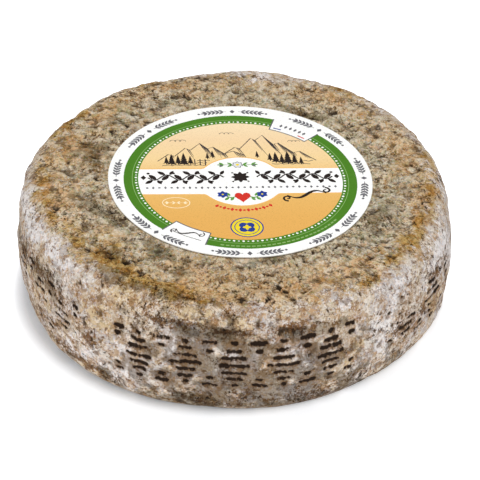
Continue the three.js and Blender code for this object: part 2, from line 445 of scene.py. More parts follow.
def bake_map(mesh, rings, sectors, coarse):
    """Lays the rind out on a square map: its rings unrolled in strips, one above the other, and beside
    them the coarse parts under the label and the wheel, given by the points at their faces' corners."""
    strip_length = -(-sectors // BAKE_STRIPS)
    strip_height = 1 / BAKE_STRIPS
    round_length = 2 * np.pi * CORE_RADIUS / BAKE_STRIPS
    strip_width = min(BAKE_WIDTH, round_length / rings * strip_height)
    face = np.arange((rings - 1) * sectors)
    row = (face // sectors)[:, None] + (0, 1, 1, 0)
    column = (face % sectors)[:, None] + (0, 0, 1, 1)
    strip = (face % sectors // strip_length)[:, None]
    u = BAKE_GAP + (column - strip * strip_length) / strip_length * (strip_width - 2 * BAKE_GAP)
    v = (strip + BAKE_GAP + (1 - row / (rings - 1)) * (1 - 3 * BAKE_GAP)) * strip_height
    unrolled = np.stack([u, v], -1).reshape(-1, 2)

    radius = (1 - strip_width) / 2
    flat = coarse[:, :2] / (CORE_RADIUS * 1.2) * (radius - BAKE_GAP) + (strip_width + radius, 0)
    flat[:, 1] += np.where(coarse[:, 2] < CORE_FOOT, 0.25, 0.75)
    layer = mesh.uv_layers.new(name="OFBake")
    layer.data.foreach_set("uv", np.concatenate([unrolled, flat]).astype(np.float32).ravel())


def build_rind():
    """The rind as one mesh: the grid, closed by coarse rings under the label and over the flat bottom."""
    grid, fields = build_grid()
    rings, sectors = grid.shape[:2]
    across = np.arange(sectors)
    beside = (across + 1) % sectors
    rows = np.arange(rings - 1)[:, None] * sectors
    quads = np.stack([rows + across, rows + across + sectors, rows + beside + sectors, rows + beside], -1)

    bed = []
    for radius, count in BED_RINGS:
        ring = arc(radius, count=count) + LABEL_CENTRE[:2]
        bed.append(np.column_stack([ring, cad_height("cheese_wheel", ring, CORE_TOP, 1) - BED_DROP]))
    bottom = [np.column_stack([arc(radius, count=count), np.zeros(count)]) for radius, count in BOTTOM_RINGS]
    bed_start = rings * sectors
    bottom_start = bed_start + sum(len(ring) for ring in bed)
    faces = [tuple(quad) for quad in quads.reshape(-1, 4)] + capped(bed, bed_start, 0, sectors)
    faces += [face[::-1] for face in capped(bottom, bottom_start, (rings - 1) * sectors, sectors)]

    points = np.concatenate([grid.reshape(-1, 3), *bed, *bottom])
    mesh = bpy.data.meshes.new("rind")
    mesh.from_pydata((points * MM).tolist(), [], faces)
    mesh.shade_smooth()
    bake_map(mesh, rings, sectors, points[np.ravel(faces[(rings - 1) * sectors:])])
    for name, values in fields.items():
        whole = np.zeros(len(points))
        whole[: values.size] = values.ravel()
        mesh.attributes.new(name, "FLOAT", "POINT").data.foreach_set("value", whole.astype(np.float32))
    return bpy.data.objects.new("rind", mesh)


def linear(red, green, blue):
    """A colour given as it looks on screen, from 0 to 255, as Blender's shaders want it."""
    shares = (c / 255 for c in (red, green, blue))
    return (*(s / 12.92 if s <= 0.04045 else ((s + 0.055) / 1.055) ** 2.4 for s in shares), 1)


# Print of the label, in millimetres from its centre. It is drawn upright, and then turned by some degrees.
# The middles of its two tabs are in degrees round it.

LABEL_TURN = 4.1
LABEL_THICKNESS = 0.4
PRINT_DROP = 1.0
GREEN_RADIUS = 53
LINE_RADIUS = 49.1
DOT_RADIUS = 47.45
FIELD_RADIUS = 46.4
BAND_HEIGHT = 19.8
BAND_DROP = 1.3
BULGE_RADIUS = 19
FILLET = 3
UPPER_TAB = 56
LOWER_TAB = 237.5

WHITE = (252, 252, 250)
GREEN = (74, 128, 32)
PALE_GREEN = (140, 176, 108)
LEAF = (96, 152, 66)
DARK = (38, 29, 26)
INK = (66, 60, 60)
GREY = (104, 103, 108)
RED = (212, 52, 40)
BLUE = (36, 62, 146)
YELLOW = (240, 216, 44)
CREAM = (255, 235, 196)
EDGE = (243, 188, 104)
PETAL = (226, 228, 232)

# The orange field, from the bottom of the label to its top: millimetres from the middle, and colour
FIELD = (
    (-47, (230, 174, 91)), (-30, (230, 176, 94)), (-14, (233, 184, 104)), (4, (239, 198, 130)),
    (16, (244, 213, 157)), (32, (244, 214, 170)), (47, (248, 226, 186)),
)


def field_colour(y):
    """The field's colour at heights on the label."""
    heights = [height for height, _ in FIELD]
    colours = np.array([linear(*colour) for _, colour in FIELD])
    return np.stack([np.interp(y, heights, colours[:, k]) for k in range(4)], -1)


class Sheet:
    """A sheet of shapes in ink, each laid over those before it, and lower by the drop that is set."""

    def __init__(self):
        self.points, self.faces, self.inks = [], [], []
        self.drop = 0

    def ink(self, colour, *outlines):
        """Prints closed outlines in a colour, or in the field's colours for None."""
        for outline in outlines:
            x, y = np.asarray(outline, float).T
            y = y - self.drop
            turning = np.sum(x * np.roll(y, -1) - np.roll(x, -1) * y)
            order = range(len(x)) if turning > 0 else range(len(x) - 1, -1, -1)
            first = len(self.points)
            self.points += [Vector((x[i], y[i])) for i in order]
            self.faces.append(list(range(first, first + len(x))))
            self.inks.append(colour)

    def place(self, colour, parts, x=0, y=0, turn=0):
        """Prints the parts of a motif, turned and then shifted."""
        self.ink(colour, *(moved(part, x, y, turn) for part in parts))


def arc(radius, start=0, end=360, count=24, x=0, y=0):
    """Points along part of a circle, or all round it."""
    angles = np.radians(np.linspace(start, end, count, endpoint=abs(end - start) < 360))
    return np.stack([x + radius * np.cos(angles), y + radius * np.sin(angles)], -1)


def lozenge(width, height, x=0, y=0):
    """The outline of a lozenge that stands on its point."""
    return np.array([(x + width / 2, y), (x, y + height / 2), (x - width / 2, y), (x, y - height / 2)])


def moved(outline, x=0, y=0, turn=0):
    """An outline turned by so many degrees, and then shifted."""
    c, s = np.cos(np.radians(turn)), np.sin(np.radians(turn))
    return np.asarray(outline) @ np.array([(c, s), (-s, c)]) + (x, y)


def mirrored(parts):
    """The same parts on the other side of the middle."""
    return [np.asarray(part) * (-1, 1) for part in parts]


def bent(outline, radius, middle):
    """An outline drawn upright round (0, 0), bent round the label at a radius and angle in degrees."""
    x, y = np.asarray(outline).T
    angle = np.radians(middle) - x / radius
    return np.stack([(radius + y) * np.cos(angle), (radius + y) * np.sin(angle)], -1)


def leaf(length, width, x=0, y=0, turn=0):
    """A pointed leaf that grows from a place in a direction."""
    t = np.linspace(0, 1, 7)
    side = width / 2 * np.sin(np.pi * t) ** 0.8
    outline = np.concatenate([np.stack([t * length, side], -1), np.stack([t * length, -side], -1)[-2:0:-1]])
    return moved(outline, x, y, turn)


def stroke(path, width):
    """Short pieces of a drawn line. Its width is a number, or one for each point."""
    path = np.asarray(path, float)
    along = np.gradient(path, axis=0)
    along /= np.linalg.norm(along, axis=1)[:, None]
    across = along[:, ::-1] * (-1, 1) * (np.broadcast_to(width, len(path)) / 2)[:, None]
    left, right = path + across, path - across
    return [(left[i], right[i], right[i + 1], left[i + 1]) for i in range(len(path) - 1)]


def sprig(length, leaves, size):
    """A straight twig along X with pairs of leaves, which all point to its far end."""
    parts = stroke([(0, 0), (length / 2, 0), (length, 0)], size / 9)
    for x in np.linspace(0.12, 0.8, leaves) * length:
        parts += [leaf(size, size * 0.4, x, 0, turn) for turn in (38, -38)]
    return parts + [leaf(size, size * 0.36, length * 0.86, 0)]


def curl(radius, turns, width, count=26):
    """A spiral from its middle at (0, 0) out to its radius, which ends to the right of the middle."""
    t = np.linspace(0.1, 1, count)
    angle = 2 * np.pi * turns * (t - 1)
    path = np.stack([radius * t * np.cos(angle), radius * t * np.sin(angle)], -1)
    return stroke(path, width * (0.5 + 0.6 * t))


def garland():
    """The dark frieze on the band: a wavy stem with leaves and berries on each side of a rosette."""
    leaves = ((5.4, 2.5, -1, 1.9, -52), (4.6, 2.1, 0.6, 2, 40), (3.8, 1.8, -1.4, 2, 118))
    x = 7.5 + 34.5 * np.linspace(0, 1, 60)
    half = stroke(np.stack([x, 2.1 * np.sin((x - 7.5) * 2 * np.pi / 11.5)], -1), 0.75)
    for k in range(6):
        root = 10.4 + 5.75 * k
        side = (-1) ** k
        half += [leaf(long, wide, root + x, side * y, side * turn) for long, wide, x, y, turn in leaves]
        half.append(arc(0.75, count=10, x=root + 2.6, y=side * -3.3))
    half.append(lozenge(2.6, 3.6, 44, 0))
    rosette = [leaf(4.3, 2.2, 0, 0, turn) for turn in range(0, 360, 45)]
    rosette += [lozenge(1.3, 1.3, x, y) for x, y in arc(4.9, 45, 405, 4)]
    return rosette + half + mirrored(half)


def ring_ornament():
    """What the white rim carries eight times: two sprigs that leave a lozenge."""
    right = [moved(part, x=2.9) for part in sprig(11.4, 5, 2.8)] + [arc(0.65, count=8, x=16.2)]
    return [lozenge(2.4, 3)] + right + mirrored(right)


def fir(height, width):
    """A fir: a trunk and four ragged tiers that grow wider downwards."""
    parts = [np.array([(-0.25, -0.8), (0.25, -0.8), (0.25, 1), (-0.25, 1)])]
    for tier in range(4):
        low, high = height * (0.2 * tier), height * (0.2 * tier + 0.4)
        half = width / 2 * (1 - 0.2 * tier)
        foot = [(-half, low - 0.3), (-half / 3, low + 0.3), (half / 3, low), (half, low - 0.4)]
        parts.append([*foot, (0, high)])
    return parts


def mountain(ridge, foot, lean):
    """Ridge lines of a mountain, with hatching down the slopes that turn away from the light."""
    ridge = np.array(ridge, float)
    parts = stroke(ridge, 0.45)
    steps = np.linspace(ridge[0, 0], ridge[-1, 0], int(abs(ridge[-1, 0] - ridge[0, 0]) / 0.85))
    heights = np.interp(steps, ridge[:, 0], ridge[:, 1])
    slopes = np.gradient(heights, steps)
    for k, (x, y, slope) in enumerate(zip(steps, heights, slopes)):
        if slope < 0.05:
            length = min(y - foot, (y - foot) * (0.45 + 0.5 * hashed(np.array([k, 3, 9]), 5)))
            if length > 0.8:
                end = (x + lean * length, y - length)
                parts += stroke([(x, y), ((x + end[0]) / 2, (y + end[1]) / 2), end], (0.5, 0.34, 0.12))
    return parts


def landscape(sheet):
    """High pasture: a near and a far ridge, firs, a fence and meadow strokes."""
    far = [(-37, 15), (-32, 20.5), (-29, 19), (-24, 25.5), (-21.5, 24), (-17, 29.5), (-13.5, 25), (-11, 26.5),
           (-6, 21), (-2, 23), (3, 20)]
    near = [(-7, 20), (-1, 26), (1.5, 25), (7, 33.5), (9, 31.8), (12.5, 36), (17, 28.5), (19.5, 29.5),
            (26, 21.5), (29, 22.5), (36, 15)]
    sheet.ink(INK, *mountain(far, 15, 0.35), *mountain(near, 16, 0.4))
    for x, y, height in ((-33, 13.2, 6), (-30.6, 12.5, 8.5), (-27.6, 13, 7), (-25, 12.4, 9.5), (-22, 13, 6.5),
                         (14.8, 15.5, 6), (17.4, 13.8, 8.5), (20.2, 13.2, 7), (22.9, 12.8, 10), (26, 13, 7.4),
                         (29, 12.6, 5.6), (-14, 17.5, 4.6), (-11.6, 18.4, 5.4), (9, 18.2, 4.8)):
        sheet.place(DARK, fir(height, height * 0.52), x, y)
    for y, start, end in ((11.7, -35, -15), (13.6, -20, -14.5), (15.4, -19, -13), (12.2, 15.5, 33),
                          (14.6, 30, 34.5)):
        x = np.linspace(start, end, 14)
        sheet.ink(INK, *stroke(np.stack([x, y + 0.35 * np.sin(x * 1.7)], -1), 0.4))
    for x in (-20, -17.6, -15.2):
        sheet.ink(INK, *stroke([(x, 11.8), (x, 13.4), (x, 16.4)], 0.55))
    for x, y, width in ((-27, 31, 9), (27, 30.5, 7), (-4, 37, 8)):
        cloud = np.concatenate([arc(width / 6, 170, 10, 7, x + step * width / 4, y) for step in (-1, 0, 1)])
        sheet.ink(INK, *stroke(cloud, 0.28))


def band(sheet):
    """The white band across the label, with a round bulge in its middle that small fillets soften."""
    half = BAND_HEIGHT / 2
    reach = np.sqrt((BULGE_RADIUS + FILLET) ** 2 - (half + FILLET) ** 2)
    turn = np.degrees(np.arctan2(half + FILLET, reach))
    for colour, grow in ((EDGE, 0.6), (WHITE, 0)):
        bulge = arc(BULGE_RADIUS + grow, turn, 180 - turn, 40)
        fillet = arc(FILLET - grow, 270, 180 + turn, 6, reach, half + FILLET)
        upper = np.concatenate([fillet, bulge, fillet[::-1] * (-1, 1)])
        lower = upper[::-1] * (1, -1)
        foot, top = np.degrees(np.arcsin((np.array([-1, 1]) * (half + grow) - BAND_DROP) / FIELD_RADIUS))
        left = arc(FIELD_RADIUS, 180 - top, 180 - foot, 12) + (0, BAND_DROP)
        right = arc(FIELD_RADIUS, foot, top, 12) + (0, BAND_DROP)
        sheet.ink(colour, np.concatenate([upper, left, lower, right]))


def tab(sheet, middle, half_angle):
    """A white tab with a grey edge, which cuts the green ring. It is drawn upright and bent round."""
    half = np.radians(half_angle) * GREEN_RADIUS
    for colour, grow in ((GREY, 0.45), (WHITE, -0.15)):
        inner = np.linspace(-half * 0.98 - grow, half * 0.98 + grow, 9)
        outer = np.linspace(half + grow, -half - grow, 9)
        outline = [(x * 0.98, -8.6 - grow) for x in inner] + [(x, 0.3 + (grow < 0)) for x in outer]
        sheet.ink(colour, bent(outline, GREEN_RADIUS, middle))


def flourish(length, height, width):
    """A penman's flourish: a long wave between two curls."""
    t = np.linspace(-1, 1, 40)
    wave = np.stack([t * length / 2, height * 0.28 * np.sin(t * np.pi)], -1)
    swell = width * (0.35 + 0.65 * np.cos(t * np.pi / 2) ** 2)
    end = [moved(part, length / 2, height * 0.26, 92) for part in curl(height * 0.26, 1.3, width * 0.6)]
    return stroke(wave, swell) + end + [-np.asarray(part) for part in end]


def flower(petals, size):
    """Petals round (0, 0)."""
    return [leaf(size, size * 0.72, 0, 0, 90 + 360 * k / petals) for k in range(petals)]


def heart(size):
    """The outline of a heart of about this width."""
    t = np.linspace(0, 2 * np.pi, 28, endpoint=False)
    x = 16 * np.sin(t) ** 3
    y = 13 * np.cos(t) - 5 * np.cos(2 * t) - 2 * np.cos(3 * t) - np.cos(4 * t)
    return size / 32 * np.stack([x, y], -1)


def bouquets(sheet):
    """The two small motifs in the bulge: an alpine sprig above the frieze, a heart with flowers below."""
    bow = np.stack([np.linspace(3, 7, 8), 0.9 * np.sin(np.linspace(0, np.pi, 8))], -1)
    for side in (-1, 1):
        twig = [np.asarray(part) * (side, 1) for part in sprig(5.6, 2, 2.9)]
        sheet.place(LEAF, twig, side * 1.8 - 0.6, 13.2)
        sheet.place(GREY, flower(5, 0.9), side * 7.6 - 0.6, 12.6)
        sheet.place(LEAF, stroke(bow * (side, -1), 0.7), 0, -12)
        for x, y, turn in ((4, -12.6, -60), (5.6, -11.7, 60), (6.2, -12.6, -50)):
            sheet.ink(LEAF, moved(leaf(3.0, 1.5, 0, 0, turn) * (side, 1), side * x, y))
        sheet.place(BLUE, flower(6, 2.7), side * 8.9, -10.4)
        sheet.ink(YELLOW, arc(0.5, count=8, x=side * 8.9, y=-10.4))
    sheet.place(GREY, flower(7, 2.7), -0.6, 13.2)
    sheet.place(PETAL, flower(7, 2.2), -0.6, 13.2)
    sheet.ink(YELLOW, arc(0.8, count=10, x=-0.6, y=13.2))
    sheet.ink(RED, moved(heart(7.6) * (0.95, 1.12), 0, -12.4))


def beads(sheet, colour, shapes, radius, angles):
    """Prints a few shapes in turn round the label."""
    for k, angle in enumerate(angles):
        sheet.ink(colour, bent(shapes[k % len(shapes)], radius, angle))


def roundel(sheet, x, y):
    """A plain blue quatrefoil on a yellow disc."""
    for colour, radius in ((BLUE, 7.4), (YELLOW, 6.8), (BLUE, 5.6), (YELLOW, 5.2)):
        sheet.ink(colour, arc(radius, count=48, x=x, y=y))
    for left, low in arc(2.1, 45, 405, 4, x, y):
        sheet.ink(BLUE, arc(2.0, count=16, x=left, y=low))
    sheet.ink(BLUE, lozenge(4, 4, x, y))
    sheet.place(YELLOW, flower(4, 2.0), x, y)


def oval(sheet, x, y):
    """A pale oval line round a small sprig."""
    ring = arc(1, 0, 360, 40)
    ring = np.concatenate([ring, ring[:1]])
    twig = sprig(4.2, 2, 1.7)
    sheet.place(CREAM, stroke(ring * (6.1, 4), 0.4) + mirrored(twig) + twig, x, y)


def print_label():
    """The whole print, from the paper up. It was printed a little low on the paper, its band still lower."""
    sheet = Sheet()
    sheet.ink(WHITE, arc(LABEL_RADIUS, count=240))
    sheet.drop = PRINT_DROP
    sheet.ink(GREEN, arc(GREEN_RADIUS, count=200))
    sheet.ink(PALE_GREEN, arc(LINE_RADIUS + 0.15, count=180))
    sheet.ink(GREEN, arc(LINE_RADIUS - 0.15, count=180))
    sheet.ink(None, arc(FIELD_RADIUS, count=180))
    beads(sheet, WHITE, (arc(0.4, count=8), arc(0.6, count=8)), DOT_RADIUS, np.arange(144) * 2.5)
    dash = [(-0.8, -0.4), (0.8, -0.4), (0.8, 0.4), (-0.8, 0.4)]
    beads(sheet, PALE_GREEN, [dash], 51.2, np.arange(26) * 2.55 - 103)
    landscape(sheet)
    sheet.drop = PRINT_DROP + BAND_DROP
    band(sheet)
    sheet.place(DARK, garland(), 0, 3.2)
    for k in range(32):
        x = -42.6 + 2.75 * k
        sheet.ink(GREY, lozenge(1.3, 2.2, x, -5) if k % 2 else arc(0.6, count=8, x=x, y=-5))
    bouquets(sheet)
    beads(sheet, RED, (lozenge(1.8, 2.7), arc(0.65, count=8)), 22.6, np.linspace(-122, -58, 15))
    sheet.place(DARK, flourish(18, 8.6, 1.7), 29, -11, 4)
    sheet.drop = PRINT_DROP
    tab(sheet, UPPER_TAB, 12.6)
    tab(sheet, LOWER_TAB, 11.6)
    for x in np.linspace(-6.6, 6.6, 6):
        sheet.ink(GREY, bent(lozenge(1.6, 2.8, x, -3.9), GREEN_RADIUS, UPPER_TAB))
    for x, colour in ((-7.4, BLUE), (7.2, RED)):
        bar = [(x - 2.2, -7.3), (x + 2.2, -7.3), (x + 2.2, -6.6), (x - 2.2, -6.6)]
        sheet.ink(colour, bent(bar, GREEN_RADIUS, UPPER_TAB))
    lines = [np.asarray(part) * (-1, -1) + (0, -4.4) for part in flourish(13, 6.4, 1.0)]
    lines += stroke([(-8, -2.0), (0, -2.0), (8, -2.0)], 0.35)
    sheet.ink(INK, *(bent(part, GREEN_RADIUS, LOWER_TAB) for part in lines))
    for middle in range(0, 360, 45):
        sheet.ink(GREY, *(bent(part, 56.4, middle) for part in ring_ornament()))
    roundel(sheet, 0.2, -37)
    oval(sheet, -30.1, -18)
    return sheet


# The label's mesh has loose points this far apart, these rings underneath, and its paper cockles by this much
LABEL_GRID = 4
PAPER_RINGS = ((0, 1), (25, 24), (50, 60))
LABEL_COCKLE = 0.12


def label_surface():
    """A smooth surface through the top of the CAD label: height in millimetres at any x and y."""
    rings = [arc(radius, count=24) for radius in (1, 15, 30, 45, 59.5)]
    spots = np.concatenate(rings) + LABEL_CENTRE[:2]

    def terms(x, y):
        x, y = (x - LABEL_CENTRE[0]) / LABEL_RADIUS, (y - LABEL_CENTRE[1]) / LABEL_RADIUS
        return np.stack([x ** i * y ** j for i in range(6) for j in range(6 - i)], -1)

    factors = np.linalg.lstsq(terms(*spots.T), cad_height("paper_label", spots, 100, -1), rcond=None)[0]
    return lambda x, y: terms(x, y) @ factors


def build_label():
    """The printed paper: its top is cut along every outline of the print, and each bit takes one ink."""
    sheet = print_label()
    steps = np.arange(-LABEL_RADIUS, LABEL_RADIUS + 1, LABEL_GRID)
    loose = [Vector((x, y)) for x in steps for y in steps if np.hypot(x, y) < LABEL_RADIUS - 1]
    cut = delaunay_2d_cdt(sheet.points + loose, [], sheet.faces, 1, 1e-4, True)
    flat = np.array([tuple(point) for point in cut[0]])
    faces = cut[2]
    inks = [sheet.inks[max(over)] for over in cut[5]]

    place = moved(flat, *LABEL_CENTRE[:2], LABEL_TURN)
    surface = label_surface()
    top = np.concatenate([place, surface(*place.T)[:, None]], 1)
    top[:, 2] += LABEL_COCKLE * noise(top, 17, 101, 2)

    rim = np.flatnonzero(np.hypot(*flat.T) > LABEL_RADIUS - 0.01)
    rim = rim[np.argsort(np.arctan2(flat[rim, 1], flat[rim, 0]))]
    first, count = len(top), len(rim)
    sides = [(rim[k - 1], first + (k - 1) % count, first + k, rim[k]) for k in range(count)]
    under = []
    for radius, points in PAPER_RINGS:
        ring = arc(radius, count=points) + LABEL_CENTRE[:2]
        under.append(np.column_stack([ring, surface(*ring.T) - LABEL_THICKNESS]))
    sides += [face[::-1] for face in capped(under, first + count, first, count)]

    mesh = bpy.data.meshes.new("printed_label")
    points = np.concatenate([top, top[rim] - (0, 0, LABEL_THICKNESS), *under])
    mesh.from_pydata((points * MM).tolist(), [], [*faces, *sides])
    mesh.shade_smooth()
    mesh.set_sharp_from_angle(angle=np.radians(40))
    colours = mesh.color_attributes.new("ink", "FLOAT_COLOR", "CORNER")
    values = []
    for face, colour in zip(faces, inks):
        heights = flat[list(face), 1]
        values.append(np.tile(linear(*colour), (len(face), 1)) if colour else field_colour(heights))
    values += [np.tile(linear(*WHITE), (len(face), 1)) for face in sides]
    colours.data.foreach_set("color", np.concatenate(values).astype(np.float32).ravel())
    return bpy.data.objects.new("printed_label", mesh)


# Materials

# The usual spread of Blender's noise when it has one octave
ONE_OCTAVE = 0.12


class Finish:
    """A material and the few kinds of node that its patterns are made of. Widths are millimetres, and
    colours are as they look on screen, from 0 to 255."""

    def __init__(self, name, roughness):
        self.material = bpy.data.materials.new(name)
        self.material.use_nodes = True
        self.tree = self.material.node_tree
        self.place = self.add("ShaderNodeTexCoord").outputs["Object"]
        self.feed(self.tree.nodes["Principled BSDF"], Roughness=roughness)

    def add(self, kind, **inputs):
        return self.feed(self.tree.nodes.new(kind), **inputs)

    def feed(self, node, **inputs):
        """Sets a node's inputs, whose names have _ for a blank here."""
        for name, value in inputs.items():
            self.put(node.inputs[name.replace("_", " ")], value)
        return node

    def cover(self, **inputs):
        """Sets inputs of the material's own shader, and gives the finished material."""
        self.feed(self.tree.nodes["Principled BSDF"], **inputs)
        return self.material

    def put(self, socket, value):
        """Links another node's output to a socket, or sets it to a number, a vector or a colour."""
        if isinstance(value, bpy.types.NodeSocket):
            self.tree.links.new(value, socket)
        else:
            socket.default_value = linear(*value) if socket.type == "RGBA" else value

    def moved_on(self, seed):
        """The place that a pattern is read at, moved on by its seed so that no two are alike."""
        shift = (0.37 * seed, 0.23 * seed, -0.19 * seed)
        return self.math("ADD", self.place, shift, "VectorMath", "Vector")

    def noise(self, width, detail=8, roughness=0.72, seed=0):
        """Noise with about 0 as its mean and 1 as its usual spread."""
        node = self.add("ShaderNodeTexNoise", Vector=self.moved_on(seed), Scale=1 / (width * MM),
                        Detail=detail, Roughness=roughness)
        shares = roughness ** np.arange(detail + 1)
        spread = ONE_OCTAVE * np.sqrt((shares ** 2).sum()) / shares.sum()
        return self.math("DIVIDE", self.math("SUBTRACT", node.outputs["Fac"], 0.5), spread)

    def patches(self, width, share, seed, soft, bias=None, detail=8):
        """A mask of ragged patches that cover about this share of the surface, and more where the bias is
        high: a node's output, or a field and its strength."""
        value = self.noise(width, detail, seed=seed)
        if isinstance(bias, tuple):
            bias = self.math("MULTIPLY", self.field(bias[0]), bias[1])
        if bias:
            value = self.math("ADD", value, bias)
        edge = NormalDist().inv_cdf(1 - share)
        return self.ramp(value, edge - soft, edge + soft)

    def ragged(self, name, amount, *noise):
        """A field with noise added, which frays the edges that are drawn from it."""
        return self.math("ADD", self.field(name), self.math("MULTIPLY", self.noise(*noise), amount))

    def field(self, name, output="Fac"):
        """What the mesh has under this name at each point."""
        node = self.add("ShaderNodeAttribute")
        node.attribute_name = name
        return node.outputs[output]

    def ramp(self, value, low, high):
        """0 up to low and 1 from high, with an eased climb between them. High may be the smaller."""
        node = self.add("ShaderNodeMapRange", Value=value, From_Min=min(low, high), From_Max=max(low, high),
                        To_Min=int(low > high), To_Max=int(low < high))
        node.interpolation_type = "SMOOTHSTEP"
        return node.outputs["Result"]

    def math(self, operation, a, b, kind="Math", output="Value"):
        node = self.add("ShaderNode" + kind)
        node.operation = operation
        self.put(node.inputs[0], a)
        self.put(node.inputs[1], b)
        return node.outputs[output]

    def paint(self, under, over, mask, strength=1.0, blend="MIX"):
        """Lays a colour over another where the mask is. The blend MULTIPLY tints what is under it."""
        node = self.add("ShaderNodeMix")
        node.data_type = "RGBA"
        node.blend_type = blend
        if strength != 1:
            mask = self.math("MULTIPLY", mask, strength)
        self.put(node.inputs["Factor"], mask)
        sockets = [socket for socket in node.inputs if socket.type == "RGBA"]
        self.put(sockets[0], under)
        self.put(sockets[1], over)
        return next(socket for socket in node.outputs if socket.type == "RGBA")

    def bump(self, height, depth):
        return self.add("ShaderNodeBump", Height=height, Distance=depth * MM).outputs["Normal"]


def grains(f, width, seed, colours):
    """Small grains, each of one colour out of a few, by their shares of the surface."""
    cells = f.add("ShaderNodeTexVoronoi", Vector=f.moved_on(seed), Scale=1 / (width * MM))
    pick = f.add("ShaderNodeSeparateColor", Color=cells.outputs["Color"]).outputs["Red"]
    node = f.add("ShaderNodeValToRGB", Fac=pick)
    node.color_ramp.interpolation = "CONSTANT"
    stops = node.color_ramp.elements
    start = 0.0
    for i, (colour, share) in enumerate(colours):
        stop = stops[i] if i < 2 else stops.new(start)
        stop.position = start
        stop.color = linear(*colour)
        start += share
    return node.outputs["Color"]


def coated(f, colour, coats):
    """Lays ragged coats over a colour. Each is a colour, its strength, and what patches() takes."""
    for over, strength, *asked in coats:
        colour = f.paint(colour, over, f.patches(*asked), strength)
    return colour


def layered(f, colour, value, layers):
    """Lays colours over another where a value goes from one number to a second, each at its strength."""
    for over, none, full, strength in layers:
        colour = f.paint(colour, over, f.ramp(value, none, full), strength)
    return colour


def tinted(f, colour, tints):
    """Tints a colour over kinds of stain: the tint, the kind, its noise's width and seed, and a strength."""
    for tint, name, width, seed, strength in tints:
        mask = f.ramp(f.ragged(name, 0.3, width, 5, 0.7, seed), -0.1, 0.6)
        colour = f.paint(colour, tint, mask, strength, "MULTIPLY")
    return colour


def uneven(f, grain, mean, spread, width, seed):
    """The grain, stronger in some places than in others. It is also the bump's height, so colours laid by it
    paint shade into the bump's dips.
    """
    change = f.math("MULTIPLY", f.noise(width, 3, 0.6, seed), spread)
    return f.math("MULTIPLY", grain, f.math("ADD", change, mean))


OCHRE_TINT = (232, 212, 160)
SHADE_TINT = (192, 188, 178)


def crust_colour(f, grain):
    """The top: tan, grey and ochre crumbs, their raised tips painted paler as a highlight and their pits and
    hollows darkened with painted shade.
    """
    outward = f.math("MULTIPLY", f.math("SUBTRACT", f.field("down"), 15), 0.1)
    colour = coated(f, (184, 169, 139), (
        ((190, 157, 111), 0.85, 16, 0.46, 1, 0.6, outward, 5),
        ((138, 138, 120), 0.85, 13, 0.17, 2, 0.5, ("grey", 1.6)),
        ((150, 150, 110), 0.75, 7, 0.1, 11, 0.5, ("grey", 1.0)),
        ((176, 132, 78), 0.85, 8, 0.2, 4, 0.5, ("warm", 1.1)),
        ((218, 181, 144), 0.75, 7, 0.2, 3, 0.4, ("warm", 0.6)),
        ((222, 212, 194), 0.75, 5, 0.2, 6, 0.4),
        ((112, 90, 64), 0.75, 6, 0.24, 7, 0.4),
        ((164, 120, 56), 0.8, 4, 0.04, 9, 0.5, ("ochre", 2.2)),
        ((98, 76, 44), 0.75, 4, 0.03, 10, 0.4, ("ochre", 1.6)),
    ))
    mixed = grains(f, 0.85, 0, (
        ((238, 228, 206), 0.22), ((214, 170, 108), 0.22), ((122, 92, 58), 0.18),
        ((178, 176, 178), 0.13), ((222, 178, 152), 0.1), ((150, 158, 104), 0.15),
    ))
    colour = f.paint(colour, mixed, f.patches(2.4, 0.6, 8, 0.5), 0.46)
    # Speckle that follows the bump: lighter where it rises and darker, to near black, where it dips, so
    # partly painted highlight and painted shade
    colour = layered(f, colour, uneven(f, grain, 0.85, 0.3, 17, 12), (
        ((236, 222, 194), 0.4, 1.7, 0.5), ((98, 75, 49), -0.5, -1.5, 0.68), ((46, 36, 27), -1.8, -2.3, 0.9),
    ))
    # Painted shade: darker, to near black, where the relief lies in a hollow, and a painted highlight on the
    # raised bits
    colour = layered(f, colour, f.ragged("hollow", 0.06, 2, 5, 0.7, 13), (
        ((232, 220, 198), 0.15, 0.5, 0.35), ((89, 68, 46), -0.15, -0.45, 0.65),
        ((42, 33, 25), -0.45, -0.85, 0.9),
    ))
    return tinted(f, colour, (
        (OCHRE_TINT, "ochre", 6, 14, 1), ((252, 241, 224), "warm", 8, 16, 1), (SHADE_TINT, "shade", 9, 15, 1),
    ))


